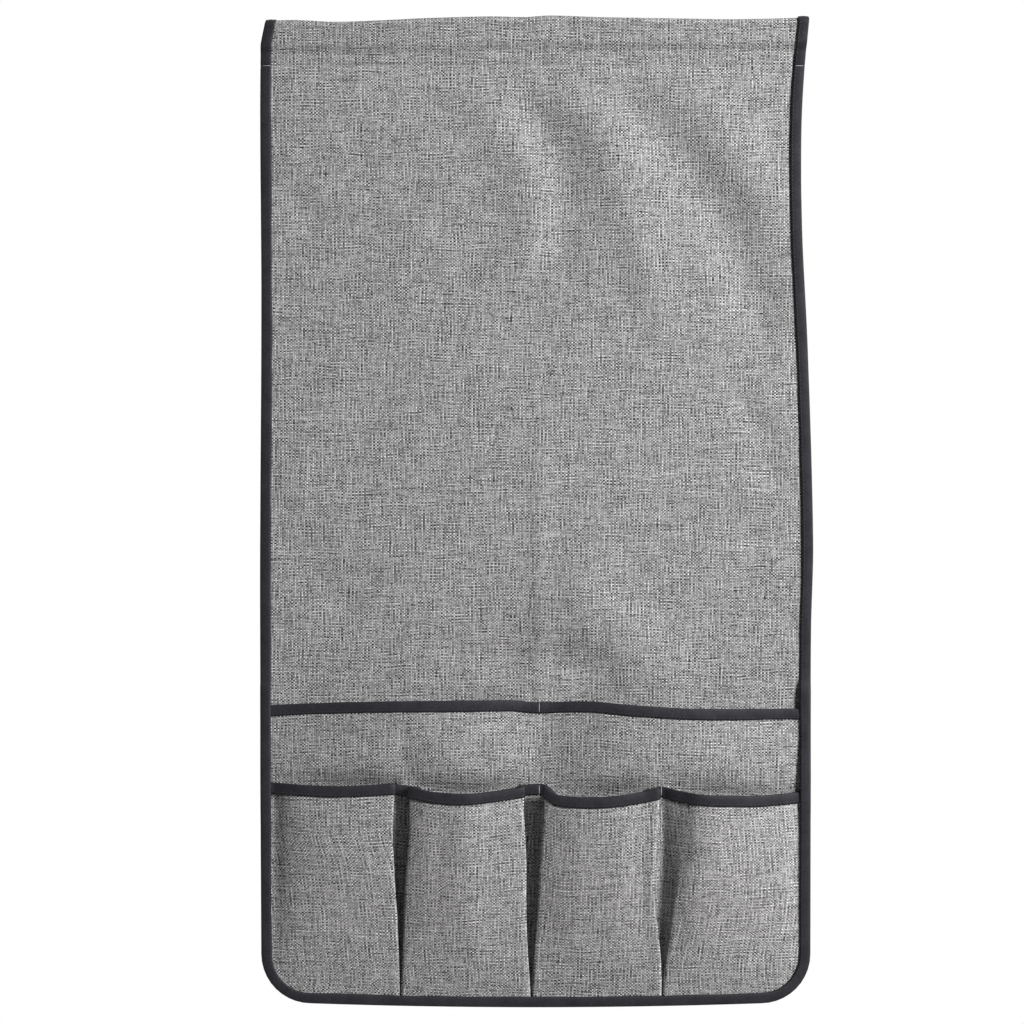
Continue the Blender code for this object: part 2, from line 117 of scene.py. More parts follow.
floor_edit = bmesh.new()
bmesh.ops.create_circle(
    floor_edit, cap_ends=True, segments=floor_segments, radius=floor_radius,
    matrix=Matrix.Translation((0.0, 0.0, floor_height)),
)
floor_mesh = bpy.data.meshes.new("floor")
floor_edit.to_mesh(floor_mesh)
floor_edit.free()
floor = bpy.data.objects.new("floor", floor_mesh)
bpy.context.scene.collection.objects.link(floor)
floor_paint = bpy.data.materials.new("pale floor")
floor_paint.use_nodes = True
floor_paint.node_tree.nodes["Principled BSDF"].inputs["Base Color"].default_value = floor_colour
floor_paint.node_tree.nodes["Principled BSDF"].inputs["Roughness"].default_value = floor_roughness
floor_mesh.materials.append(floor_paint)

# The back panel: one long piece of coarse grey linen-look cloth. Its top is folded to the back over
# an open channel and sewn down, and it hangs in soft slanting folds, flat only behind the pockets.
origin_drop = 0.017
width, height = 0.500, 0.900
corner_radius, bottom_bow = 0.045, 0.0036
cloth, tape = 0.0008, 0.0006
clearance = 0.0003  # between sewn layers
tape_cover = 0.010  # width of binding that shows
edge_inset = clearance + tape
half_width = width / 2 - edge_inset
cut_radius = corner_radius - edge_inset
cut_bottom = height - edge_inset - bottom_bow
leg = tape_cover - edge_inset
ply = cloth + clearance
bound_ply = cloth + tape + 2 * clearance
edge_depth = cloth / 2 + 4 * ply
binding_face = cloth / 2 + clearance + tape
flat_margin = 1.2 * tape_cover

hem_drop, hem_seam_drop = 0.047, 0.0455
turned_under, casing_gap, casing_lean = 0.017, 0.0092, 0.0026
casing_end, casing_drop, casing_fall = 0.0235, 0.0215, 0.0106  # where the channel ends, left and right
crease_depth, crease_half = 0.0003, 0.0030
hem_slope = 0.0010  # how much further the cloth stands off at that crease than at the seam
casing_radius = (casing_gap + cloth) / 2
seam_depth = cloth / 2 + cloth + 2 * tape + 3 * clearance
seam_groove, groove_width = 0.0007, 0.0022
rear_height = 0.2770
front_height = 0.2025
flap_lean = 0.0024
folds_fade = 0.035

panel_step = 0.0042  # size of the mesh's cells along the cloth
corner_steps = 10
turned_steps, fold_steps, back_steps, casing_steps, front_steps = 3, 6, 8, 14, 26  # round the hem
below_seam = (0.0012, 0.0026)  # two closer rows, which shape the seam's groove

left_edge_shares = ((0.0, 0.979), (0.034, 1.0), (0.3, 0.998), (0.6, 1.003), (1.0, 0.997))
right_edge_shares = (
    (0.0, 0.990), (0.09, 0.967), (0.16, 0.963), (0.22, 0.967), (0.34, 0.988),
    (0.53, 1.007), (0.62, 1.0), (1.0, 0.996),
)
top_wave_shares = (
    (-1.0, 0.45), (-0.87, 0.36), (-0.74, 0.52), (-0.58, 0.40), (-0.40, 0.18), (-0.17, 0.02),
    (-0.04, 0.08), (0.05, -0.06), (0.23, 0.08), (0.45, 0.18), (0.72, 0.28), (0.92, 0.18), (1.0, 0.10),
)

# Folds of the hanging cloth: points of a fold's line as (x, drop) in millimetres, its height and its
# half width in millimetres. A negative height is a valley.
millimetre = 0.001
panel_folds = (
    (((-74, 52), (-12, 135), (2, 180), (-14, 235)), 2.0, 15),
    (((-26, 56), (20, 125), (24, 185), (16, 235)), -2.9, 13),
    (((22, 58), (64, 112), (90, 190), (112, 280)), 3.2, 15),
    (((70, 58), (124, 118), (180, 208), (216, 305)), -3.4, 15),
    (((134, 66), (188, 130), (232, 200)), 2.7, 15),
    (((-236, 70), (-170, 58)), 1.4, 10),
    (((-236, 150), (-214, 172), (-196, 196)), -1.6, 11),
    (((-150, 190), (-100, 215)), 1.0, 26),
    (((-236, 385), (-190, 390), (-140, 382)), -1.1, 8),
    (((-236, 415), (-205, 425)), 1.1, 14),
    (((176, 340), (226, 396)), -1.5, 7),
    (((190, 372), (230, 440)), -1.4, 8),
    (((4, 360), (4, 470), (4, 700)), 1.0, 5),
    (((-96, 582), (20, 584), (80, 592)), -2.2, 10),
    (((10, 500), (66, 556), (116, 612)), 5.0, 25),
    (((-226, 500), (-160, 545)), -1.2, 22),
)
hem_creases = ((((-214, 47), (-190, 43.5), (-169, 40.8), (-119, 40.2)), 1.3, 1.8),)
fold_reach = 3  # half widths at which a fold ends
fold_fades = ((3, 0.2), (4, 0.25))  # how fast a fold rises from its start and falls to its end
crumple_sizes = ((0.060, 0.00055), (0.024, 0.00022))  # lumps of the slack cloth: their size and height


def smooth(share):
    """Ease from 0 to 1, flat at both ends."""
    share = min(max(share, 0.0), 1.0)
    return share * share * (3 - 2 * share)


def mix(start, end, share):
    return start + (end - start) * share


def through(points, at):
    """Value at one place of a smooth curve through (place, value) points."""
    last = len(points) - 1
    at = min(max(at, points[0][0]), points[last][0])
    k = next(i for i in range(last) if at <= points[i + 1][0])
    (x0, y0), (x1, y1) = points[k], points[k + 1]

    def slope(i):
        before, after = points[max(i - 1, 0)], points[min(i + 1, last)]
        return (after[1] - before[1]) / (after[0] - before[0])

    s = (at - x0) / (x1 - x0)
    ends = y0 * (1 + 2 * s) * (1 - s) ** 2 + y1 * s * s * (3 - 2 * s)
    return ends + (x1 - x0) * s * (1 - s) * (slope(k) * (1 - s) - slope(k + 1) * s)


def place(x, depth, drop):
    return Vector((x, -depth, origin_drop - drop))


def side_x(side, drop):
    """Cut edge of every layer at one side, with its bottom corner."""
    shares = left_edge_shares if side < 0 else right_edge_shares
    inset = cut_radius - max(cut_bottom - drop, 0.0)
    corner = cut_radius - math.sqrt(max(cut_radius**2 - inset**2, 0.0)) if inset > 0 else 0.0
    return side * (half_width * through(shares, drop / height) - corner)


def bow(x, rise):
    """How far the bottom sags at one place."""
    reach = half_width - cut_radius
    return bottom_bow * max(1 - (x / reach) ** 2, 0.0) * max(1 - rise / (2 * cut_radius), 0.0)


def corner_rises():
    """Rises of the rows that round the bottom corners, from the bottom up."""
    angles = [math.pi / 2 * (1 - k / corner_steps) for k in range(corner_steps + 1)]
    return [cut_radius * (1 - math.sin(angle)) for angle in angles]


def folds_at(folds, x, drop):
    """Depth that a list of folds adds at one place. Each fold fades out towards both its ends."""
    total = 0.0
    for line, rise, spread in folds:
        spread = spread * millimetre
        points = [Vector(point) * millimetre for point in line]
        whole = sum((b - a).length for a, b in zip(points, points[1:]))
        nearest, passed, along = 10 * spread, 0.0, 0.0
        for a, b in zip(points, points[1:]):
            run = b - a
            share = min(max((Vector((x, drop)) - a).dot(run) / run.length_squared, 0.0), 1.0)
            away = (Vector((x, drop)) - a - run * share).length
            if away < nearest:
                nearest, along = away, passed + share * run.length
            passed += run.length
        if nearest < fold_reach * spread:
            (start, start_share), (end, end_share) = fold_fades
            ends = smooth(start * along / whole + start_share) * smooth(end * (1 - along / whole) + end_share)
            total += rise * millimetre * ends * math.exp(-(nearest / spread) ** 2 / 2)
    return total


def crumple(x, drop):
    """Low uneven lumps of slack cloth."""
    return sum(rise * noise.noise(Vector((x / size, drop / size, size))) for size, rise in crumple_sizes)


def flap_depth(x, drop):
    """The panel between its hem and its bottom: leaning, folded and flat behind the pockets."""
    hang = mix(seam_depth, flap_lean, smooth((drop - hem_drop) / (3 * hem_drop)))
    flat = smooth((height - rear_height - drop) / (4 * folds_fade))
    free = smooth((drop - hem_drop) / folds_fade)
    free *= smooth((height - rear_height + folds_fade - drop) / folds_fade)
    return mix(cloth / 2, hang, flat) + free * (folds_at(panel_folds, x, drop) + crumple(x, drop))


def hem_section():
    """(drop, depth) of the hem's rows: the turned edge, the flat back, over the top and down the front."""
    turned_depth = (cloth / 2 + seam_depth) / 2
    bend = (turned_depth - cloth / 2) / 2
    top_drop = edge_inset + cloth / 2 + casing_radius
    middle_depth = cloth / 2 + casing_radius
    rows = []
    for k in range(turned_steps + 1):
        rows.append((hem_drop - turned_under + bend + k * panel_step, turned_depth))
    for k in range(fold_steps + 1):
        angle = math.pi * k / fold_steps
        rows.append((hem_drop - bend + bend * math.sin(angle), cloth / 2 + bend + bend * math.cos(angle)))
    rows += [(mix(hem_drop - bend, top_drop, k / back_steps), cloth / 2) for k in range(1, back_steps)]
    for k in range(casing_steps + 1):
        angle = math.pi * k / casing_steps
        upward, backward = casing_radius * math.sin(angle), casing_radius * math.cos(angle)
        rows.append((top_drop - upward, middle_depth - backward))
    rows += [(mix(top_drop, hem_seam_drop, k / front_steps), None) for k in range(1, front_steps + 1)]
    return rows


def hem_front(x, drop):
    """The hem's front: the channel stands off down to a crease, then the cloth lies on its turned edge."""
    start = mix(casing_end, casing_drop, smooth((x / half_width + 1) / 2))
    fall = smooth((drop - start) / casing_fall)
    lying = min(max((drop - start - casing_fall) / (hem_seam_drop - start - casing_fall), 0.0), 1.0)
    front_depth = cloth / 2 + 2 * casing_radius - casing_lean * smooth(drop / start)
    crease = crease_depth * math.exp(-(((drop - start - casing_fall) / crease_half) ** 2))
    return mix(front_depth, seam_depth + hem_slope * (1 - lying), fall) - crease + crumple(x, drop) * fall


hem_rows = hem_section()
# The rows of the turned edge and of half its fold, which stop short of the binding.
hem_turned_rows = turned_steps + 1 + fold_steps // 2


def panel_rows():
    """Rows of the back panel's points, from the turned edge of the hem to the bottom."""
    lower = cut_bottom - cut_radius - hem_seam_drop
    count = round(lower / panel_step)
    drops = [hem_seam_drop + below for below in below_seam]
    drops += [hem_seam_drop + lower * k / count for k in range(1, count)]
    drops += [cut_bottom - rise for rise in reversed(corner_rises())]
    rows = []
    for k, (drop, depth) in enumerate(hem_rows + [(drop, None) for drop in drops]):
        tuck = flat_margin if k < hem_turned_rows else 0.0
        left, right = side_x(-1, drop) + tuck, side_x(1, drop) - tuck
        columns = round(width / panel_step)
        fade = max(1 - drop / hem_seam_drop, 0.0)
        row = []
        for n in range(columns + 1):
            x = mix(left, right, n / columns)
            inner = min(max(x, left + leg), right - leg)
            wave = tape_cover * fade * through(top_wave_shares, x / half_width)
            sag = bow(x, cut_bottom - drop)
            if depth is None:
                depth_here = hem_front(inner, drop) if k < len(hem_rows) else flap_depth(inner, drop)
                depth_here += folds_at(hem_creases, inner, drop)
                depth_here -= seam_groove * math.exp(-(((drop - hem_seam_drop) / groove_width) ** 2))
            else:
                depth_here = depth
            row.append(place(x, depth_here, drop + wave + sag))
        rows.append(row)
    return rows


def laid_lengths(points):
    """Length of cloth from the first of a line of points to each."""
    lengths = [0.0]
    for one, two in zip(points, points[1:]):
        lengths.append(lengths[-1] + (two - one).length)
    return lengths


def keep(name, edit, finish):
    """Turn an edited mesh into a piece of the object, with its material, under the root body."""
    mesh = bpy.data.meshes.new(name)
    edit.to_mesh(mesh)
    edit.free()
    mesh.materials.append(finish)
    mesh.shade_smooth()
    piece = bpy.data.objects.new(name, mesh)
    bpy.context.scene.collection.objects.link(piece)
    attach(piece, "root")
    return piece


def woven_sheet(name, rows, lengths, thickness, finish):
    """A sheet through rows of points. Its UV map gives metres along each row, and from row to row."""
    columns, middle = len(rows[0]), len(rows[0]) // 2
    rises = laid_lengths([row[middle] for row in rows])
    edit = bmesh.new()
    bmesh.ops.create_grid(edit, x_segments=columns - 1, y_segments=len(rows) - 1, size=1.0)
    weave = edit.loops.layers.uv.new("weave")
    for vert in edit.verts:
        row = round((vert.co.y + 1) / 2 * (len(rows) - 1))
        column = round((vert.co.x + 1) / 2 * (columns - 1))
        vert.co = rows[row][column]
        for loop in vert.link_loops:
            loop[weave].uv = (lengths[row][column], rises[row])
    piece = keep(name, edit, finish)
    wall = piece.modifiers.new("thickness", "SOLIDIFY")
    wall.thickness = thickness
    wall.offset = 0.0
    return piece


yarn_pitch = (0.00162, 0.00138)  # warp yarns across, weft yarns upward
linen_tone = 0.350  # of the yarns' crowns
streak_length, patch_size = 0.020, 0.004
streak_swing, pair_swing = 1.0, 1.8
patch_swing, grain_swing, check_contrast = 2.4, 0.6, 0.34
yarn_spread, pair_spread = 7.3, 0.18  # how much the tone changes from yarn to yarn
warp_seed, weft_seed, patch_seed = 3.1, 8.7, 5.3
# Painted shade: the gaps between the yarns are painted darker than the yarns' crowns.
darkest, painted_gap_shade, crown_gain_over_shade = 0.05, 0.6, 0.64  # the gaps between the yarns are darker than their crowns
linen_tint = (0.985, 0.99)  # green and blue against red
yarn_drift, drift_scale = (0.003, 0.006, 0.0), 26.0  # how far the yarns wander, in metres
linen_relief = 0.0003


def dressed(tree, colour, height, strength, relief, roughness, gloss):
    """Give a material's shader its colour, its fine relief, its roughness and its gloss."""
    bump = linked(tree, "ShaderNodeBump", {"Strength": strength, "Distance": relief, "Height": height})
    shader = tree.nodes["Principled BSDF"]
    tree.links.new(colour, shader.inputs["Base Color"])
    tree.links.new(bump.outputs[0], shader.inputs["Normal"])
    shader.inputs["Roughness"].default_value = roughness
    shader.inputs["Specular IOR Level"].default_value = gloss


def linen(name, start):
    """Coarse plain weave of mottled grey yarns. start shifts the pattern, so that no two pieces match."""
    made = bpy.data.materials.new(name)
    made.use_nodes = True
    tree = made.node_tree

    def number(operation, *values):
        return linked(tree, "ShaderNodeMath", dict(enumerate(values)), operation=operation).outputs[0]

    def speckle(along, across, seed, detail):
        """Uneven tone that changes along a yarn and from yarn to yarn."""
        at = linked(tree, "ShaderNodeCombineXYZ", {0: along, 1: across, 2: seed}).outputs[0]
        settings = {"Vector": at, "Scale": 1.0, "Detail": detail, "Roughness": 0.6}
        return linked(tree, "ShaderNodeTexNoise", settings, noise_dimensions="3D").outputs["Fac"]

    laid = linked(tree, "ShaderNodeUVMap", uv_map="weave").outputs[0]

    def moved(operation, one, two):
        return linked(tree, "ShaderNodeVectorMath", {0: one, 1: two}, operation=operation).outputs[0]

    drift = linked(tree, "ShaderNodeTexNoise", {"Vector": laid, "Scale": drift_scale, "Detail": 2.0})
    pulled = moved("SUBTRACT", drift.outputs["Color"], (0.5, 0.5, 0.5))
    laid = moved("ADD", laid, moved("MULTIPLY", pulled, yarn_drift))
    axes = linked(tree, "ShaderNodeSeparateXYZ", {0: laid}).outputs
    warp = number("ADD", number("DIVIDE", axes[0], yarn_pitch[0]), start)
    weft = number("ADD", number("DIVIDE", axes[1], yarn_pitch[1]), start)
    warp_number, weft_number = number("FLOOR", warp), number("FLOOR", weft)
    over = number("PINGPONG", number("ADD", warp_number, weft_number), 1.0)
    along_warp = number("DIVIDE", axes[1], streak_length)
    along_weft = number("DIVIDE", axes[0], streak_length)
    patch_at = [number("DIVIDE", axis, patch_size) for axis in axes[:2]]
    patch = speckle(*patch_at, patch_seed, 1.0)
    crossing = linked(tree, "ShaderNodeCombineXYZ", {0: warp_number, 1: weft_number, 2: start}).outputs[0]
    grain = linked(tree, "ShaderNodeTexWhiteNoise", {"Vector": crossing}, noise_dimensions="3D")

    def swing(value, amount):
        """A value about a half, made a tone that swings about nought."""
        return number("MULTIPLY", number("SUBTRACT", value, 0.5), amount)

    def streaked(along, yarn, seed):
        """Tone of the yarns that run one way: each its own, and neighbours light and dark in turn."""
        alone = swing(speckle(along, number("MULTIPLY", yarn, yarn_spread), seed, 1.0), streak_swing)
        paired = swing(speckle(along, number("MULTIPLY", yarn, pair_spread), seed + 4.0, 1.0), pair_swing)
        return number("ADD", alone, number("MULTIPLY", swing(number("PINGPONG", yarn, 1.0), 2.0), paired))

    checked = number("MULTIPLY", swing(over, 2.0), number("ADD", swing(patch, patch_swing), check_contrast))
    warp_streaks = streaked(along_warp, warp_number, warp_seed)
    streaks = number("ADD", warp_streaks, streaked(along_weft, weft_number, weft_seed))
    tone = number("ADD", number("ADD", streaks, swing(grain.outputs["Value"], grain_swing)), checked)
    tone = number("MAXIMUM", number("ADD", tone, 1.0), darkest)
    round_warp = number("SINE", number("MULTIPLY", number("FRACT", warp), math.pi))
    round_weft = number("SINE", number("MULTIPLY", number("FRACT", weft), math.pi))
    bulge = number("MULTIPLY", round_warp, round_weft)
    # Painted shade between the yarns: the tone falls from each yarn's crown to the gaps beside it.
    tone = number("MULTIPLY", tone, number("ADD", painted_gap_shade, number("MULTIPLY", bulge, crown_gain_over_shade)))
    tone = number("MULTIPLY", tone, linen_tone)
    green, blue = (number("MULTIPLY", tone, tint) for tint in linen_tint)
    colour = linked(tree, "ShaderNodeCombineColor", {0: tone, 1: green, 2: blue}).outputs[0]
    dressed(tree, colour, bulge, strength=0.5, relief=linen_relief, roughness=0.9, gloss=0.05)
    return made


panel = panel_rows()
panel_lengths = [[point.x for point in row] for row in panel]
panel_linen = linen("grey linen of the panel", 0.37)
back_panel = woven_sheet("hanging_panel", panel, panel_lengths, cloth, panel_linen)
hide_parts("back_panel")

# The perimeter binding: charcoal tape folded over the cut edges of every layer, from the back of the
# hem over its top, down one side, round both corners and up the other side. Dark thread holds it.
rear_inner = cloth / 2 + bound_ply + binding_face + clearance
front_inner = edge_depth + binding_face + clearance
tape_wobble, wobble_length, tape_crown = 0.0005, 0.03, 0.0004
tape_grain, grain_length = 0.00012, 0.004
tape_relief, thread_relief = 0.0002, 0.0001
leg_steps, turn_steps, back_leg_steps = 6, 8, 5
mitre_limit = 0.5
# Where the channel of the binding widens for the pockets: widths of tape above the rear mouth and
# below the front one, and shares of the way between the two.
layers_start, layers_settle, layers_end = 2.5, 2, 3.5
rear_share, front_share = 0.27, 0.87


def channel_front(panel_depth, drop):
    """Distance from the panel's middle to the binding's inner front face."""
    rear_mouth, front_mouth = height - rear_height, height - front_height
    knots = (
        (rear_mouth - layers_start * tape_cover, 0.0),
        (rear_mouth - tape_cover, rear_inner),
        (mix(rear_mouth, front_mouth, rear_share), rear_inner),
        (mix(rear_mouth, front_mouth, front_share), front_inner),
        (front_mouth + layers_settle * tape_cover, front_inner),
        (front_mouth + layers_end * tape_cover, edge_depth + cloth / 2 + clearance),
    )
    bare = cloth / 2 + clearance
    if drop <= knots[0][0]:
        return bare
    for (d0, z0), (d1, z1) in zip(knots, knots[1:]):
        if drop <= d1:
            return max(mix(z0, z1, (drop - d0) / (d1 - d0)) - panel_depth, bare)
    return knots[-1][1] - panel_depth


def mitred(directions):
    """Direction at each point of a path from those of its segments, longer at bends, up to a limit."""
    ends = [directions[0], *directions, directions[-1]]
    return [(one + two) / max(1 + one.dot(two), mitre_limit) for one, two in zip(ends, ends[1:])]


def folded_tape(name, path, inward, front, near, finish):
    """Tape folded over an edge: legs on both faces of the cloth, and a round fold outside the edge."""
    far = cloth / 2 + clearance + tape / 2
    lengths = laid_lengths(path)
    rows = []
    for point, ahead, out, face, along in zip(path, inward, front, near, lengths):
        face = face + tape / 2
        reach = leg + tape_wobble * noise.noise(Vector((along / wobble_length, 0.5, 0.0)))
        section = []
        for k in range(leg_steps + 1):
            crown = tape_crown * math.sin(math.pi * k / leg_steps)
            section.append((mix(reach, 0.0, k / leg_steps), face + crown))
        middle, turn = (face - far) / 2, (face + far) / 2
        for k in range(1, turn_steps):
            angle = math.pi * k / turn_steps
            section.append((-(edge_inset - tape / 2) * math.sin(angle), middle + turn * math.cos(angle)))
        section += [(mix(0.0, reach, k / back_leg_steps), -far) for k in range(back_leg_steps + 1)]
        row = []
        for inside, off in section:
            spot = point + ahead * inside
            row.append(spot + out * (off + tape_grain * noise.noise(spot / grain_length)))
        rows.append(row)
    across = [laid_lengths(row) for row in rows]
    return woven_sheet(name, rows, across, tape, finish)


def two_tones(tree, share, dark, light):
    """A ramp between two colours, each given as its place and its colour."""
    ramp = linked(tree, "ShaderNodeValToRGB", {"Fac": share})
    for k, (spot, colour) in enumerate((dark, light)):
        ramp.color_ramp.elements[k].position = spot
        ramp.color_ramp.elements[k].color = (*colour, 1.0)
    return ramp.outputs[0]


def binding_cloth(name):
    """Charcoal woven tape: fine cross ribs with a faint sheen, worn a little paler here and there."""
    made = bpy.data.materials.new(name)
    made.use_nodes = True
    tree = made.node_tree
    laid = linked(tree, "ShaderNodeUVMap", uv_map="weave").outputs[0]
    rib_inputs = {"Vector": laid, "Scale": 420.0, "Distortion": 1.5, "Detail": 2.0}
    ribs = linked(tree, "ShaderNodeTexWave", rib_inputs, bands_direction="Y").outputs["Fac"]
    stretched = linked(tree, "ShaderNodeMapping", {"Vector": laid, "Scale": (900.0, 260.0, 1.0)})
    fleck = linked(tree, "ShaderNodeTexNoise", {"Vector": stretched.outputs[0], "Scale": 1.0, "Detail": 2.0})
    patch = linked(tree, "ShaderNodeTexNoise", {"Vector": laid, "Scale": 60.0, "Detail": 3.0})
    both = {0: fleck.outputs["Fac"], 1: patch.outputs["Fac"]}
    shade = linked(tree, "ShaderNodeMath", both, operation="MULTIPLY").outputs[0]
    colour = two_tones(tree, shade, (0.10, (0.008, 0.008, 0.011)), (0.45, (0.026, 0.026, 0.033)))
    dressed(tree, colour, ribs, strength=0.4, relief=tape_relief, roughness=0.55, gloss=0.18)
    return made


stitch_length, stitch_gap = 0.0026, 0.0009
stitch_width, stitch_height = 0.0006, 0.0005

bead_edit = bmesh.new()
bmesh.ops.create_uvsphere(
    bead_edit, u_segments=6, v_segments=4, radius=0.5,
    matrix=Matrix.Diagonal((stitch_length, stitch_width, stitch_height, 1.0)),
)
bead = bpy.data.meshes.new("stitch")
bead_edit.to_mesh(bead)
bead_edit.free()


def long_stitch(edit, start, end, out):
    """One stitch from start to end, a bead of thread lying on a face that points out."""
    ahead = (end - start).normalized()
    out = (out - ahead * out.dot(ahead)).normalized()
    stretched = ahead * ((end - start).length / stitch_length)
    turned = Matrix((stretched, out.cross(ahead), out)).transposed().to_4x4()
    stitch = bead.copy()
    stitch.transform(Matrix.Translation((start + end) / 2) @ turned)
    edit.from_mesh(stitch)
    bpy.data.meshes.remove(stitch)


def stitches(edit, path, front):
    """One row of stitches along a path."""
    lengths = laid_lengths(path)
    at, k = stitch_gap, 0
    while at + stitch_length < lengths[-1]:
        middle = at + stitch_length / 2
        while lengths[k + 1] < middle:
            k += 1
        share = (middle - lengths[k]) / (lengths[k + 1] - lengths[k])
        spot = path[k].lerp(path[k + 1], share)
        half = (path[k + 1] - path[k]).normalized() * stitch_length / 2
        long_stitch(edit, spot - half, spot + half, front[k].lerp(front[k + 1], share))
        at += stitch_length + stitch_gap


def thread(name, colour):
    """Twisted sewing thread, with a slight gloss and a fine twist along every stitch."""
    made = bpy.data.materials.new(name)
    made.use_nodes = True
    tree = made.node_tree
    at = linked(tree, "ShaderNodeTexCoord").outputs["Object"]
    twist = linked(tree, "ShaderNodeTexNoise", {"Vector": at, "Scale": 1400.0, "Detail": 2.0}).outputs["Fac"]
    dark = [0.6 * value for value in colour]
    twisted = two_tones(tree, twist, (0.35, dark), (0.65, colour))
    dressed(tree, twisted, twist, strength=0.3, relief=thread_relief, roughness=0.55, gloss=0.5)
    return made


def perimeter_frames(rows):
    """Path of the perimeter binding with its inward and front directions, and its channel's depths."""
    last = len(rows) - 1
    left = [rows[k][0] for k in range(hem_turned_rows, last)]
    right = [rows[k][-1] for k in range(last - 1, hem_turned_rows - 1, -1)]
    path = left + list(rows[last]) + right
    hem = len(hem_rows) - 1 - hem_turned_rows
    fronts, inwards = [], []
    for k, (one, two) in enumerate(zip(path, path[1:])):
        ahead = (two - one).normalized()
        if k < hem or k >= len(path) - 1 - hem:
            inwards.append(Vector((1 if k < hem else -1, 0, 0)))
            fronts.append(ahead.cross(inwards[-1]).normalized())
        else:
            fronts.append(Vector((0, -1, 0)))
            inwards.append(fronts[-1].cross(ahead).normalized())
    near = [channel_front(-point.y, origin_drop - point.z) for point in path]
    return path, mitred(inwards), mitred(fronts), near


charcoal = binding_cloth("charcoal binding tape")
dark_thread = thread("dark sewing thread", (0.018, 0.018, 0.022))
light_thread = thread("light grey sewing thread", (0.62, 0.62, 0.64))
seam_margin = 0.0018  # from a binding's inner edge to its stitches


def stitched_binding(name, path, inward, front, near):
    """Both rows of the stitches that hold a folded tape, on its front and on its back."""
    edit = bmesh.new()
    along = leg - seam_margin
    crowned = [face + tape_crown / 2 for face in near]
    bare = [cloth / 2 + clearance] * len(near)
    for side, faces in ((1, crowned), (-1, bare)):
        row = []
        for point, ahead, out, face in zip(path, inward, front, faces):
            row.append(point + ahead * along + out * side * (face + tape))
        stitches(edit, row, [out * side for out in front])
    return keep(name, edit, dark_thread)


path, inward, front, near = perimeter_frames(panel)
edge_tape = folded_tape("edge_tape", path, inward, front, near, charcoal)
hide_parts("perimeter_binding")
edge_stitches = stitched_binding("edge_tape_stitches", path, inward, front, near)
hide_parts("perimeter_binding_seam")

# The hem's seam: one row of light grey stitches across the panel that closes the channel of the hem.
# They sink into the cloth, and one long pale stitch crosses the dark tape at each side.
hem_row = panel[len(hem_rows) - 1]
hem_edit = bmesh.new()
toward, away = Vector((0, -1, 0)), Vector((0, 1, 0))


def clear_of_tape(point):
    """Whether a point of the hem's row lies between the tapes of the two sides."""
    return leg < point.x - hem_row[0].x and leg < hem_row[-1].x - point.x


hem_inside = [point for point in hem_row if clear_of_tape(point)]
stitches(hem_edit, [point + toward * cloth / 2 for point in hem_inside], [toward] * len(hem_inside))
for end, across in ((hem_row[0], leg), (hem_row[-1], -leg)):
    on_tape = end + toward * (binding_face + tape / 2)
    long_stitch(hem_edit, on_tape, on_tape + Vector((across, 0, 0)), toward)
hem_back = []
for point in hem_row:
    behind = clearance if clear_of_tape(point) else edge_inset + clearance
    hem_back.append(Vector((point.x, behind, point.z)))
stitches(hem_edit, hem_back, [away] * len(hem_back))
hem_seam = keep("hem_stitches", hem_edit, light_thread)
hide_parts("hem_seam")

# The rear pocket: a full-width piece of the same cloth, sewn in at the sides and bottom and divided
# once at the middle. Its mouth stands a little off the panel, and its edge is bound with tape.
rear_stand_off, rear_crest_share, rear_arch, rear_lie = 0.0108, 0.44, 1.5, 1.7
rim_bulge, dive_height = 0.0032, 0.0230  # above the front rims, behind which the cloth dives
centre_x, centre_flat = 0.0036, 0.0080
mouth_upright = 0.0125
divider_leans = (0.0036, 0.0080, -0.0014)
left_divider_x, right_divider_x = -0.1200, 0.1130
rear_mouth_shares = (
    (-1.0, -0.3), (-0.6, 0.1), (-0.1, 0.2), (0.0, 0.0), (0.2, 0.1), (0.35, -0.2), (0.6, -0.55), (1.0, -0.6),
)
centre_crease, crease_width = 0.0011, 0.010
upright_steps = 3
# Sag of each mouth below the height at the dividers, in millimetres, at shares of its width.
mouth_sags = (
    ((0.0, -2.2), (0.20, -1.0), (0.50, 0.4), (0.75, -0.4), (0.92, -1.6), (1.0, 0.0)),
    (
        (0.0, 0.0), (0.08, 1.2), (0.19, 4.0), (0.32, 5.6), (0.48, 6.0),
        (0.64, 4.4), (0.80, 1.6), (0.92, 0.0), (1.0, -0.6),
    ),
    (
        (0.0, -0.6), (0.05, 0.6), (0.11, 5.6), (0.17, 7.6), (0.32, 8.8),
        (0.55, 8.4), (0.72, 6.4), (0.86, 4.0), (1.0, 1.0),
    ),
    ((0.0, 1.0), (0.14, 5.0), (0.30, 7.6), (0.45, 8.4), (0.65, 9.0), (0.84, 7.6), (1.0, 6.5)),
)


def mouth_cut(above_bottom):
    """Rise of a mouth's cut edge, from the height of its binding above the lowest point."""
    return cut_bottom - (height - above_bottom + edge_inset)


def rear_rise(x):
    """Cut edge of the rear pocket's mouth."""
    return mouth_cut(rear_height) + tape_cover * through(rear_mouth_shares, x / half_width)


def divider_x(number, rise):
    """Line of a divider, leaning a little from its foot to its mouth."""
    top = (left_divider_x, centre_x, right_divider_x)[number]
    return top - divider_leans[number] * (1 - min(rise / front_height, 1.0))


def opened(rise, mouth):
    """Share of its opening that a pocket has at a rise: none under the bottom binding, all at its mouth."""
    share = (rise - flat_margin) / (mouth - flat_margin)
    return min(max(share, 0.0), 1.0)


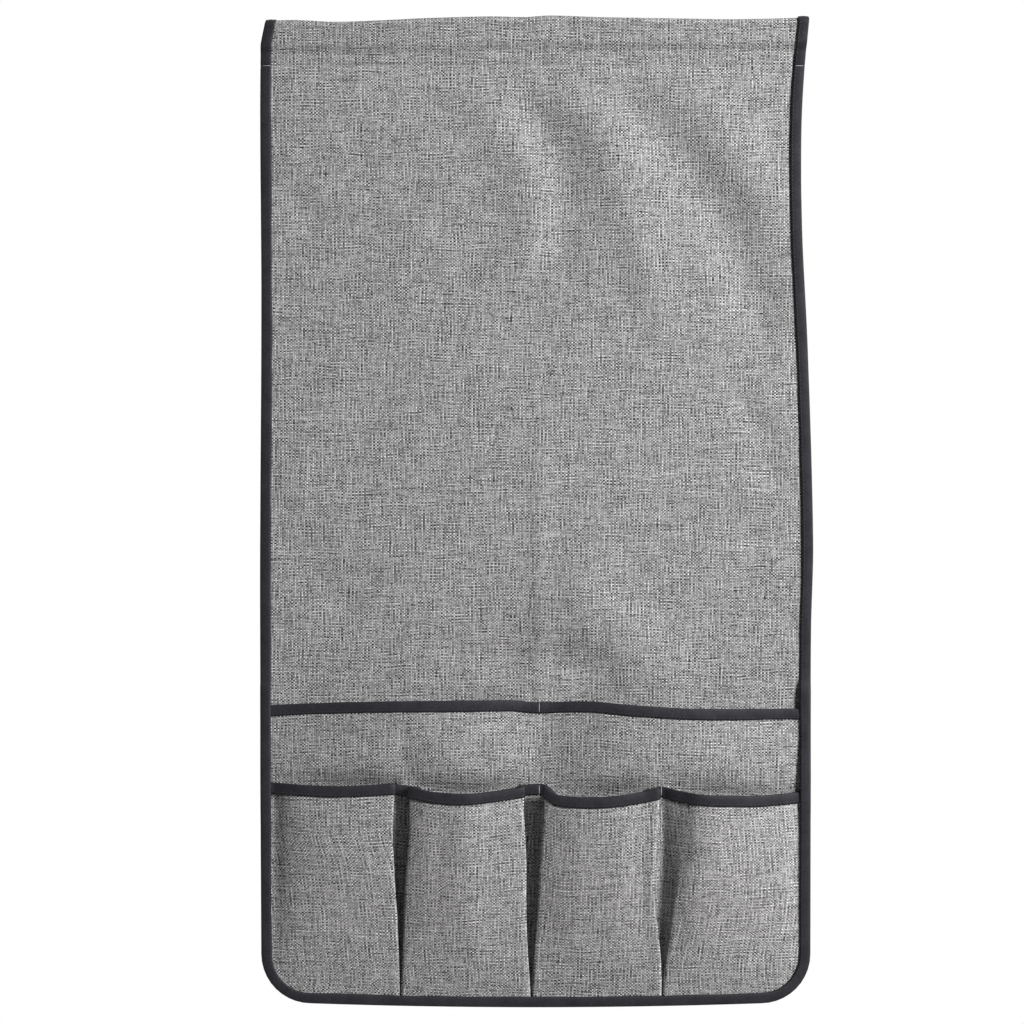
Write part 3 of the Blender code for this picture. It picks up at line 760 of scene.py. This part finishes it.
def rear_depth(x, rise):
    """Middle of the rear pocket: flat at its sides, bottom and centre seam, off the panel between."""
    form = opened(rise, mouth_cut(rear_height) - mouth_upright)
    middle = divider_x(1, rise)
    side = side_x(-1 if x < middle else 1, height - rear_height)
    side -= math.copysign(flat_margin, side)
    middle += math.copysign(centre_flat / 2, side)
    across = min(max((x - middle) / (side - middle), 0.0), 1.0)
    crested = across ** (math.log(0.5) / math.log(rear_crest_share))
    arch = math.sin(math.pi * crested) ** rear_arch
    return cloth / 2 + mix(ply, bound_ply, form) + rear_stand_off * arch * form**rear_lie


def front_rise(x):
    """Cut edge of the front pockets' mouths, which sag between the dividers."""
    lines = [side_x(-1, height - front_height), *[divider_x(n, front_height) for n in range(3)]]
    lines.append(side_x(1, height - front_height))
    k = max(n for n in range(4) if x >= lines[n] or n == 0)
    share = min(max((x - lines[k]) / (lines[k + 1] - lines[k]), 0.0), 1.0)
    return mouth_cut(front_height) - through(mouth_sags[k], share) * millimetre


def rim_fall(x, rise):
    """How far the rear pocket bulges out above the front rims, and its share of the dive behind them."""
    lines = [-half_width, left_divider_x, centre_x, right_divider_x, half_width]
    k = max(n for n in range(4) if x >= lines[n] or n == 0)
    across = math.sin(math.pi * min(max((x - lines[k]) / (lines[k + 1] - lines[k]), 0.0), 1.0)) ** 0.5
    dive_top = front_rise(x) + dive_height
    across *= smooth((rise - front_height / 4) / (front_height / 3))
    bulge = rim_bulge * smooth((rear_height - rise) / (rear_height - dive_top))
    dive = min(max((dive_top - rise) / dive_height, 0.0), 1.0) ** 2
    return across * bulge, across * dive


def levels(above_bottom, step):
    """Rows of a pocket from the bottom up, each as a function of the rise of its mouth's cut edge."""
    made = [lambda top, rise=rise: rise for rise in corner_rises()]
    steps = round((above_bottom - cut_radius - mouth_upright) / step)
    for k in range(1, steps + 1):
        made.append(lambda top, share=k / steps: mix(cut_radius, top - mouth_upright, share))
    for k in range(1, upright_steps + 1):
        made.append(lambda top, left=mouth_upright * (1 - k / upright_steps): top - left)
    return made


def rear_rows():
    """Rows of the rear pocket's points, from the bottom up."""
    rows = []
    columns = round(width / panel_step)
    for level in levels(rear_height, panel_step):
        drop = cut_bottom - level(mouth_cut(rear_height))
        left, right = side_x(-1, drop), side_x(1, drop)
        row = []
        for n in range(columns + 1):
            x = mix(left, right, n / columns)
            rise = level(rear_rise(x))
            crease = centre_crease * math.exp(-((x - divider_x(1, rise)) / crease_width) ** 2)
            bulge, dive = rim_fall(x, rise)
            depth = mix(rear_depth(x, rise) + crease + bulge, cloth / 2 + ply, dive)
            row.append(place(x, depth, cut_bottom - rise + bow(x, rise)))
        rows.append(row)
    return rows


def mouth_frames(mouth):
    """Inward and front directions along the mouth of a pocket."""
    side = Vector((0, 0, 1))
    fronts = [(two - one).cross(side).normalized() for one, two in zip(mouth, mouth[1:])]
    return [-side] * len(mouth), mitred(fronts)


rear = rear_rows()
rear_lengths = [[point.x for point in row] for row in rear]
rear_linen = linen("grey linen of the rear pocket", 0.71)
rear_cloth = woven_sheet("rear_pocket_cloth", rear, rear_lengths, cloth, rear_linen)
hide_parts("rear_pocket")
bare_near = [cloth / 2 + clearance] * len(rear[-1])
inward, front = mouth_frames(rear[-1])
rear_tape = folded_tape("rear_mouth_tape", rear[-1], inward, front, bare_near, charcoal)
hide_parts("rear_pocket_binding")
inside = slice(2, -2)  # the stitches stop short of the sides
sewn = [line[inside] for line in (rear[-1], inward, front, bare_near)]
rear_stitches = stitched_binding("rear_mouth_stitches", *sewn)
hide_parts("rear_binding_seam")

# The front pockets: one long strip of the cloth, folded back on both sides of each divider, which
# gives four pockets that stand well off the rear one. Its top is bound before the folds are sewn.
divider_flat, divider_flat_foot = 0.0060, 0.0020
fold_depths = ((15.0, 19.5), (20.4, 21.5), (24.6, 17.6))  # millimetres, left and right of each divider
# Half of the cloth that each pleat takes up. A negative one is an open side, and bulges out by that.
pleat_tucks = ((0.0130, 0.0120), (0.0145, 0.0120), (0.0140, -0.0003))
tuck_round, fold_round, fullness = 0.0018, 0.0008, 0.8
# Offsets of the front folds from their dividers, in millimetres, at shares of the pocket's height.
fold_offsets = (
    (
        (
            (0.0, 1.0), (0.15, 1.2), (0.25, 2.2), (0.37, 3.2), (0.50, 5.7),
            (0.64, 7.6), (0.75, 9.2), (0.85, 8.7), (1.0, 7.5),
        ),
        ((0.0, 1.0), (0.25, 2.4), (0.50, 3.4), (0.64, 4.6), (0.75, 6.0), (1.0, 5.5)),
    ),
    (
        (
            (0.0, 1.0), (0.10, 2.5), (0.24, 5.5), (0.37, 7.6), (0.50, 8.8),
            (0.64, 10.0), (0.77, 12.2), (0.88, 14.2), (1.0, 14.5),
        ),
        ((0.0, 1.0), (0.24, 1.2), (0.37, 2.2), (0.64, 3.0), (0.80, 4.2), (1.0, 4.6)),
    ),
    (
        (
            (0.0, 1.0), (0.19, 1.6), (0.30, 3.6), (0.42, 6.6), (0.52, 7.8),
            (0.64, 6.8), (0.80, 4.4), (0.90, 3.2), (1.0, 2.4),
        ),
        (
            (0.0, 1.0), (0.10, 1.8), (0.19, 3.5), (0.28, 6.5), (0.38, 9.5),
            (0.48, 12.0), (0.60, 15.5), (0.72, 18.5), (0.85, 20.0), (1.0, 19.0),
        ),
    ),
)
# Depth of each pocket's face when open, in millimetres, at shares of its width.
faces = (
    (
        (0.0, 5.0), (0.06, 7.6), (0.14, 10.4), (0.24, 12.6), (0.40, 14.4),
        (0.58, 15.4), (0.75, 15.6), (0.9, 15.4), (1.0, 15.0),
    ),
    (
        (0.0, 19.5), (0.05, 21.1), (0.13, 23.4), (0.30, 25.2), (0.42, 26.8), (0.50, 27.0),
        (0.60, 26.0), (0.72, 23.8), (0.80, 22.9), (0.9, 22.0), (1.0, 20.4),
    ),
    (
        (0.0, 21.5), (0.05, 23.1), (0.12, 24.6), (0.28, 27.0), (0.36, 27.4), (0.55, 27.8),
        (0.70, 27.4), (0.78, 26.2), (0.88, 24.4), (0.94, 24.2), (1.0, 24.6),
    ),
    (
        (0.0, 17.6), (0.05, 20.0), (0.11, 22.0), (0.18, 23.0), (0.26, 22.8),
        (0.50, 18.8), (0.75, 13.4), (0.9, 9.4), (1.0, 5.0),
    ),
)
pocket_folds = (
    (((-200, 835), (-196, 885)), -0.8, 8),
    (((38, 840), (44, 880)), 0.7, 7),
    (((66, 835), (64, 882)), -0.8, 7),
    (((-90, 770), (-70, 850)), 0.5, 12),
)
face_steps, pleat_steps = 9, 4


def pleat_side(number, side, rise, form, line, stand_off):
    """Half of a pleat in plan, as (x, depth) from the divider to a pocket's front fold."""
    along = 1 if side else -1
    tuck = pleat_tucks[number][side]
    offset = through(fold_offsets[number][side], min(rise / front_height, 1.0)) * millimetre
    flat = mix(divider_flat_foot, divider_flat, form) / 2
    bend = mix(ply, tuck_round, form)
    start = Vector((flat, 0.0))
    fold = Vector((offset, stand_off - (mix(ply, fold_round, form) if tuck > 0 else 0.0)))
    chord = fold - start
    reach = math.sqrt(max(tuck**2 - (chord.length / 2) ** 2, (tuck / 4) ** 2)) if tuck > 0 else tuck * form
    ahead = chord.normalized()
    inner = Vector((ahead.y, -ahead.x))
    middle = (start + fold) / 2 + inner * reach
    half = ahead * bend / 2 if tuck > 0 else chord / 5
    near, far = middle - half, middle + half
    points = [start, near, far, fold]
    if tuck > 0:
        near.y, far.y = max(near.y, 0.0), max(far.y, ply)
        points.append(Vector((offset + fold_round * form, stand_off)))
    return [(line + along * point.x, point.y) for point in points]


def strip_section(rise):
    """The strip in plan at one height, as (x, depth) from the left cut edge to the right one."""
    upright = mouth_cut(front_height) - mouth_upright
    form = opened(rise, upright)
    opening = math.sin(math.pi / 2 * form) ** fullness
    level = min(rise, upright) + mouth_upright * form

    def base(x):
        return rear_depth(x, level) + mix(ply, bound_ply, form)

    line_of = [divider_x(number, min(rise, upright)) for number in range(3)]
    sides = []
    for number, line in enumerate(line_of):
        for side in range(2):
            stand_off = mix(2 * ply, fold_depths[number][side] * millimetre - base(line), opening)
            sides.append(pleat_side(number, side, min(rise, upright), form, line, stand_off))
    left, right = side_x(-1, cut_bottom - rise), side_x(1, cut_bottom - rise)
    section = [(left, edge_depth), (left + flat_margin / 2, edge_depth), (left + flat_margin, edge_depth)]
    for pocket in range(4):
        start = sides[2 * pocket - 1] if pocket else None
        end = sides[2 * pocket] if pocket < 3 else None
        x0 = start[-1][0] if start else left + flat_margin
        x1 = end[-1][0] if end else right - flat_margin
        if start:
            section += [(x, base(line_of[pocket - 1]) + depth) for x, depth in start]
        for k in range(1, face_steps + 1):
            share = k / (face_steps + 1)
            x = mix(x0, x1, share)
            full = mix(base(x) + 2 * ply, through(faces[pocket], share) * millimetre, opening)
            full += opening * folds_at(pocket_folds, x, cut_bottom - rise)
            section.append((x, max(full, base(x) + bound_ply, edge_depth)))
        if end:
            section += [(x, base(line_of[pocket]) + depth) for x, depth in reversed(end)]
    section += [(right - flat_margin, edge_depth), (right - flat_margin / 2, edge_depth), (right, edge_depth)]
    return section


def rounded(points, steps):
    """A line of points with smooth curves between them, each stretch cut into equal steps."""
    ends = [points[0] * 2 - points[1], *points, points[-1] * 2 - points[-2]]
    line = [points[0]]
    for p0, p1, p2, p3 in zip(ends, ends[1:], ends[2:], ends[3:]):
        before, span, after = ((b - a).length ** 0.5 for a, b in ((p0, p1), (p1, p2), (p2, p3)))
        m1 = (p2 - p1) + ((p1 - p0) / before - (p2 - p0) / (before + span)) * span
        m2 = (p2 - p1) + ((p3 - p2) / after - (p3 - p1) / (span + after)) * span
        for k in range(1, steps + 1):
            s = k / steps
            line.append(
                p1 * (1 + 2 * s) * (1 - s) ** 2 + m1 * s * (1 - s) ** 2
                + p2 * s * s * (3 - 2 * s) - m2 * s * s * (1 - s)
            )
    return line


def strip_rows():
    """Rows of the pleated strip's points, from the bottom up."""
    rows = []
    for level in levels(front_height, panel_step):
        section = [Vector(point) for point in strip_section(level(mouth_cut(front_height)))]
        row = []
        for x, depth in rounded(section, pleat_steps):
            rise = level(front_rise(x))
            row.append(place(x, depth, cut_bottom - rise + bow(x, rise)))
        rows.append(row)
    return rows


strip = strip_rows()
middle_column = min(range(len(strip[-1])), key=lambda k: abs(strip[-1][k].x - centre_x))
strip_lengths = []
for row in strip:
    lengths = laid_lengths(row)
    strip_lengths.append([length - lengths[middle_column] for length in lengths])
pocket_linen = linen("grey linen of the front pockets", 0.13)
pocket_cloth = woven_sheet("front_pocket_cloth", strip, strip_lengths, cloth, pocket_linen)
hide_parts("front_pocket_strip")
inward, front = mouth_frames(strip[-1])
bare_near = [cloth / 2 + clearance] * len(strip[-1])
front_tape = folded_tape("front_mouth_tape", strip[-1], inward, front, bare_near, charcoal)
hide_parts("front_pocket_binding")
inside = slice(3, -3)
sewn = [line[inside] for line in (strip[-1], inward, front, bare_near)]
front_stitches = stitched_binding("front_mouth_stitches", *sewn)
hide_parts("front_binding_seam")

# The divider seams: light grey stitches down from the mouths' tapes, deep in the folds between the
# pockets. The outer two join the pleated strip to the rear pocket alone. The middle one goes through
# every layer to the back of the panel, and so divides the rear pocket too.
divider_rows = 40


def divider_line(number):
    """One divider's long stitches over the tapes, and the lines of its others down to the bottom."""
    top = mouth_cut(front_height)
    upright = top - mouth_upright
    path = []

    def underlay(rise):
        form = opened(rise, upright)
        x = divider_x(number, min(rise, upright))
        level = min(rise, upright) + mouth_upright * form
        return x, rear_depth(x, level) + mix(ply, bound_ply, form)

    def over_tape(x, depth, mouth):
        over = depth + binding_face + tape / 2
        return place(x, over, cut_bottom - mouth - edge_inset), place(x, over, cut_bottom - mouth + leg)

    x, depth = underlay(top)
    crossings, runs = [], []
    if number > 0:
        crossings.append(over_tape(x, depth, top))
    if number == 1:
        rear_top = rear_rise(x)
        rear_front = rear_depth(x, rear_top) + centre_crease
        crossings.append(over_tape(x, rear_front, rear_top))
        strip_top = cut_bottom - top - edge_inset - clearance
        runs.append([
            place(x, rear_front + cloth / 2, cut_bottom - rear_top + leg + clearance),
            place(x, rear_depth(x, top) + centre_crease + cloth / 2, strip_top),
        ])
    for k in range(divider_rows + 1):
        rise = mix(top - leg - clearance, leg, k / divider_rows)
        x, depth = underlay(rise)
        path.append(place(x, depth + cloth / 2, cut_bottom - rise))
    return crossings, [*runs, path]


for number, (name, node) in enumerate((
    ("left_divider_stitches", "left_divider_seam"),
    ("middle_divider_stitches", "centre_divider_seam"),
    ("right_divider_stitches", "right_divider_seam"),
)):
    divider_edit = bmesh.new()
    crossings, runs = divider_line(number)
    for start, end in crossings:
        long_stitch(divider_edit, start, end, toward)
    for line in runs:
        stitches(divider_edit, line, [toward] * len(line))
    if number == 1:
        behind = [Vector((point.x, clearance, point.z)) for point in (runs[0][0], runs[-1][-1])]
        stitches(divider_edit, behind, [away] * 2)
    divider = keep(name, divider_edit, light_thread)
    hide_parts(node)
